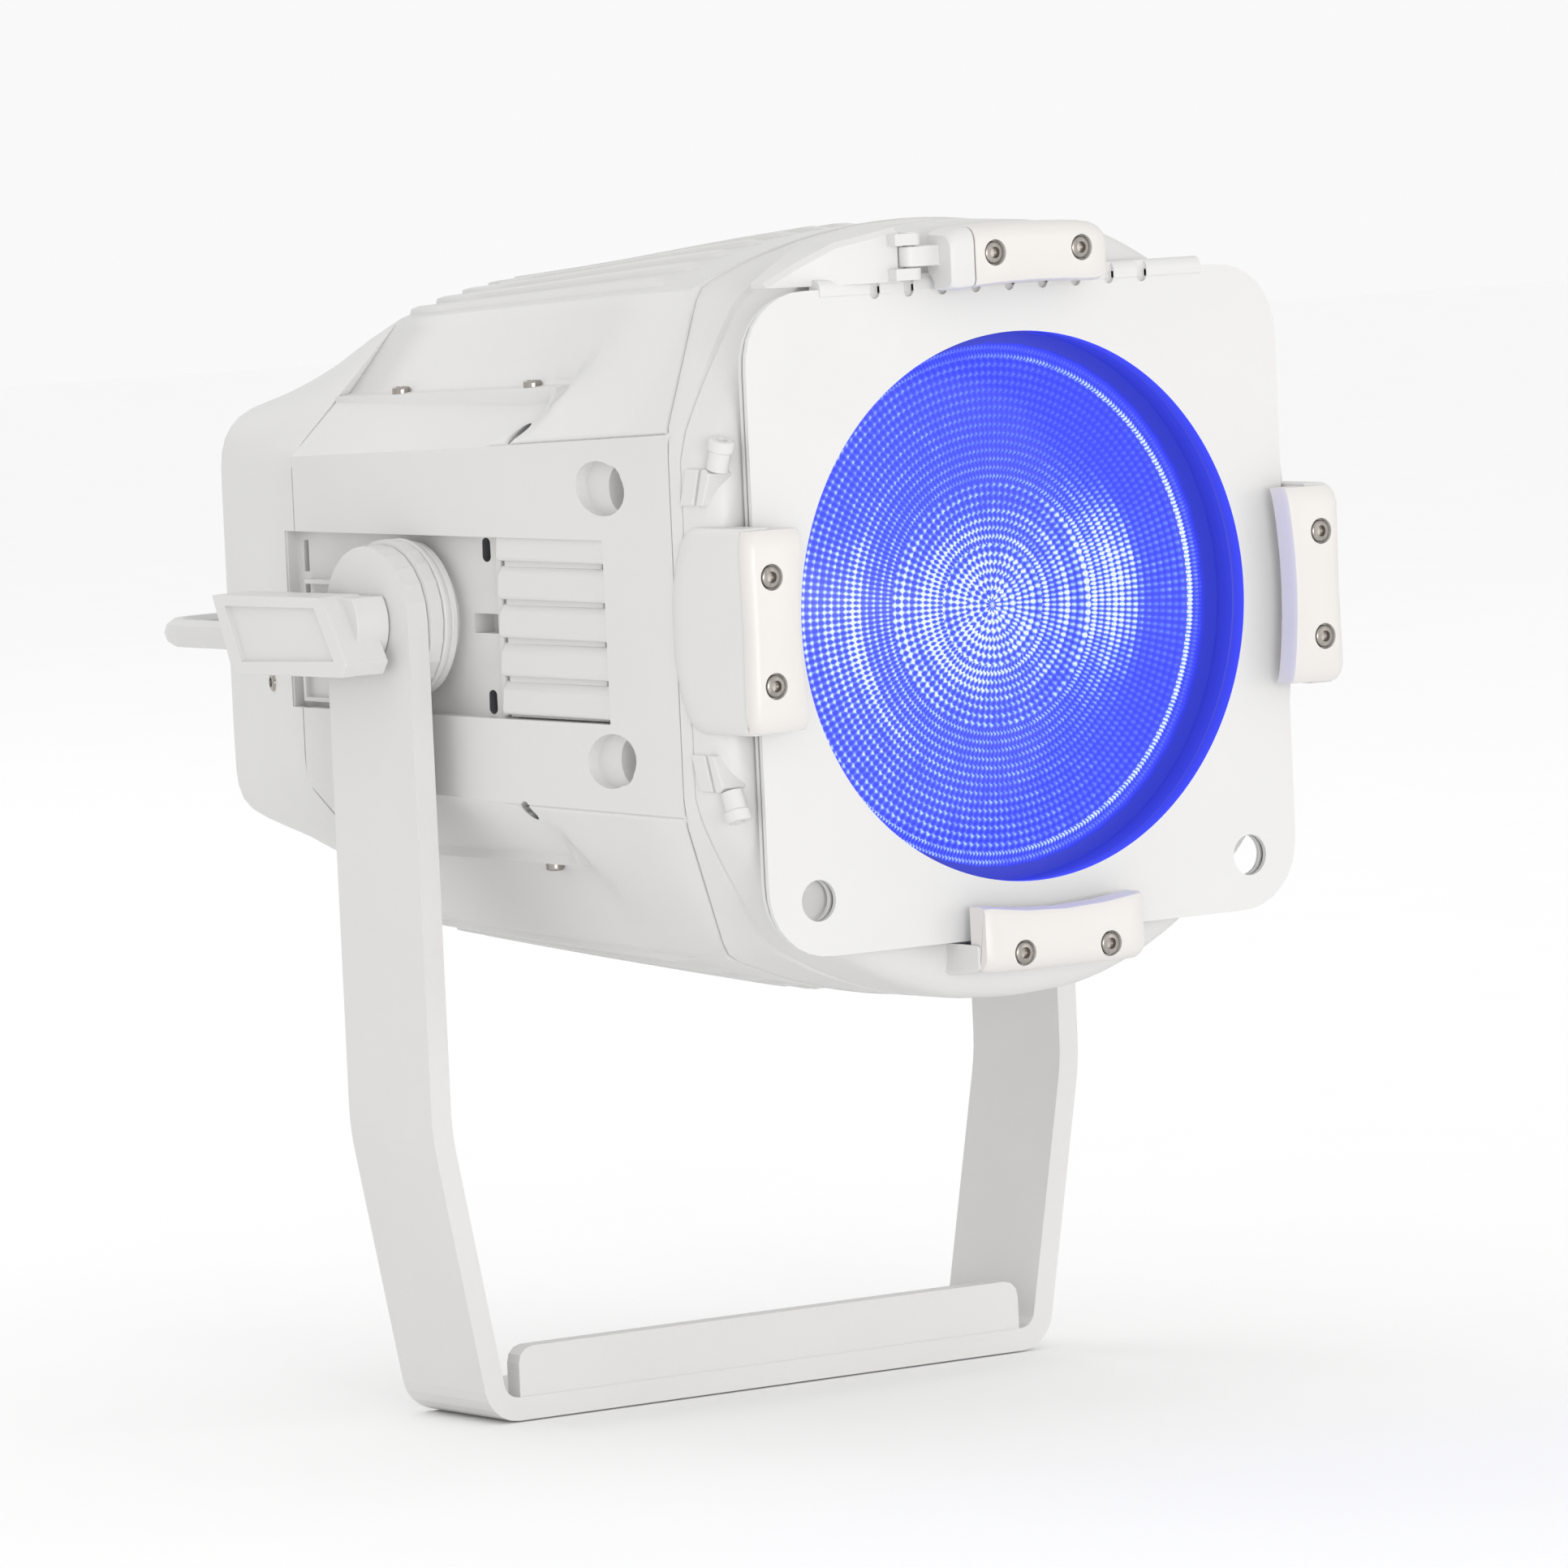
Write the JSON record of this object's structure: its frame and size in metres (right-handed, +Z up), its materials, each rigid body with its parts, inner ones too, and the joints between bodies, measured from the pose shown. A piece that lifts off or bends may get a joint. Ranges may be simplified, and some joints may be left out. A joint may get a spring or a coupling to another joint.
{
  "type": "LED Fresnel spotlight",
  "caption": "White stage wash spotlight with a Fresnel lens, colour frame and clips, zooming light engine, vented housing and tilting floor yoke.",
  "frame": {"origin": "middle of the underside of the yoke's base, directly below the tilt axis", "axes": "+Z up, the beam leaves towards -Y, and the tilt axis is parallel to X, 240 mm above the origin"},
  "size_m": [0.262, 0.387, 0.355],
  "materials": {
    "white_coated_metal": "satin",
    "white_moulding": "satin",
    "clip_moulding": "satin",
    "screw_steel": "satin",
    "bright_steel": "satin",
    "aluminium": "satin",
    "black_moulding": "matte",
    "circuit_board": "satin",
    "friction_rubber": "matte",
    "lens_glass": "gloss",
    "emitter_glass": "gloss",
    "barrel_black": "satin"
  },
  "bodies": {
    "yoke": {"yoke": "white_coated_metal", "friction_washer_left": "friction_rubber", "friction_washer_right": "friction_rubber"},
    "top_latch": {"top_latch": "clip_moulding", "latch_screw_1": "screw_steel", "latch_screw_2": "screw_steel"},
    "tilt_lever": {"tilt_lever": "white_moulding"},
    "lead_screw": {"lead_screw": "bright_steel"},
    "light_engine": {"carriage_plate": "aluminium", "heat_sink": "aluminium", "led_board": "circuit_board", "led_emitter": "emitter_glass", "mixing_optic": "aluminium", "fan_frame": "black_moulding"},
    "fan_rotor": {"fan_rotor": "black_moulding"},
    "menu_button_1": {"menu_button_1": "black_moulding"},
    "menu_button_2": {"menu_button_2": "black_moulding"},
    "menu_button_3": {"menu_button_3": "black_moulding"},
    "menu_button_4": {"menu_button_4": "black_moulding"},
    "head": {"colour_frame": "white_coated_metal", "rear_panel": "white_coated_metal", "rear_handle": "white_coated_metal", "front_bezel": "white_moulding", "top_cover": "white_moulding", "bottom_cover": "white_moulding", "left_side_panel": "white_moulding", "right_side_panel": "white_moulding", "rear_cover": "white_moulding", "left_clip": "clip_moulding", "right_clip": "clip_moulding", "bottom_clip": "clip_moulding", "latch_bracket": "clip_moulding", "left_clip_screw_1": "screw_steel", "left_clip_screw_2": "screw_steel", "right_clip_screw_1": "screw_steel", "right_clip_screw_2": "screw_steel", "bottom_clip_screw_1": "screw_steel", "bottom_clip_screw_2": "screw_steel", "latch_pin": "bright_steel", "pivot_bolt_left": "bright_steel", "pivot_bolt_right": "bright_steel", "guide_rod_left": "bright_steel", "guide_rod_right": "bright_steel", "safety_eye": "bright_steel", "front_chassis_plate": "aluminium", "rear_chassis_plate": "aluminium", "power_supply": "aluminium", "zoom_motor": "black_moulding", "power_inlet": "black_moulding", "power_outlet": "black_moulding", "data_inlet": "black_moulding", "data_outlet": "black_moulding", "fuse_holder": "black_moulding", "control_board": "circuit_board", "fresnel_lens": "lens_glass", "display": "lens_glass", "lens_barrel": "barrel_black", "lens_retaining_ring": "barrel_black"}
  },
  "joints": [
    {"name": "head_tilt", "type": "hinge", "parent": "yoke", "child": "head", "pos_m": [0, 0, 0.24], "axis": [1, 0, 0], "range_deg": [-90, 90]},
    {"name": "latch_swing", "type": "hinge", "parent": "head", "child": "top_latch", "pos_m": [-0.039, -0.171, 0.343], "axis": [0, 0, -1], "range_deg": [0, 110]},
    {"name": "lever_turn", "type": "hinge", "parent": "head", "child": "tilt_lever", "pos_m": [-0.1295, 0, 0.24], "axis": [-1, 0, 0], "range_deg": [0, 150]},
    {"name": "zoom_slide", "type": "slide", "parent": "head", "child": "light_engine", "axis": [0, -1, 0], "range_m": [0, 0.04]},
    {"name": "lead_screw_turn", "type": "hinge", "parent": "head", "child": "lead_screw", "pos_m": [0, -0.12, 0.174], "axis": [0, 1, 0], "range_deg": [-5, 1810]},
    {"name": "fan_spin", "type": "hinge", "parent": "light_engine", "child": "fan_rotor", "pos_m": [0, -0.002, 0.248], "axis": [0, 1, 0], "continuous": true},
    {"name": "menu_button_1_press", "type": "slide", "parent": "head", "child": "menu_button_1", "axis": [0, -1, 0], "range_m": [0, 0.0015], "stiffness_N_per_m": 400, "springref_m": -0.001},
    {"name": "menu_button_2_press", "type": "slide", "parent": "head", "child": "menu_button_2", "axis": [0, -1, 0], "range_m": [0, 0.0015], "stiffness_N_per_m": 400, "springref_m": -0.001},
    {"name": "menu_button_3_press", "type": "slide", "parent": "head", "child": "menu_button_3", "axis": [0, -1, 0], "range_m": [0, 0.0015], "stiffness_N_per_m": 400, "springref_m": -0.001},
    {"name": "menu_button_4_press", "type": "slide", "parent": "head", "child": "menu_button_4", "axis": [0, -1, 0], "range_m": [0, 0.0015], "stiffness_N_per_m": 400, "springref_m": -0.001}
  ],
  "couplings": [
    {"joint": "lead_screw_turn", "follows": "zoom_slide", "rad_per_m": 785.4}
  ]
}
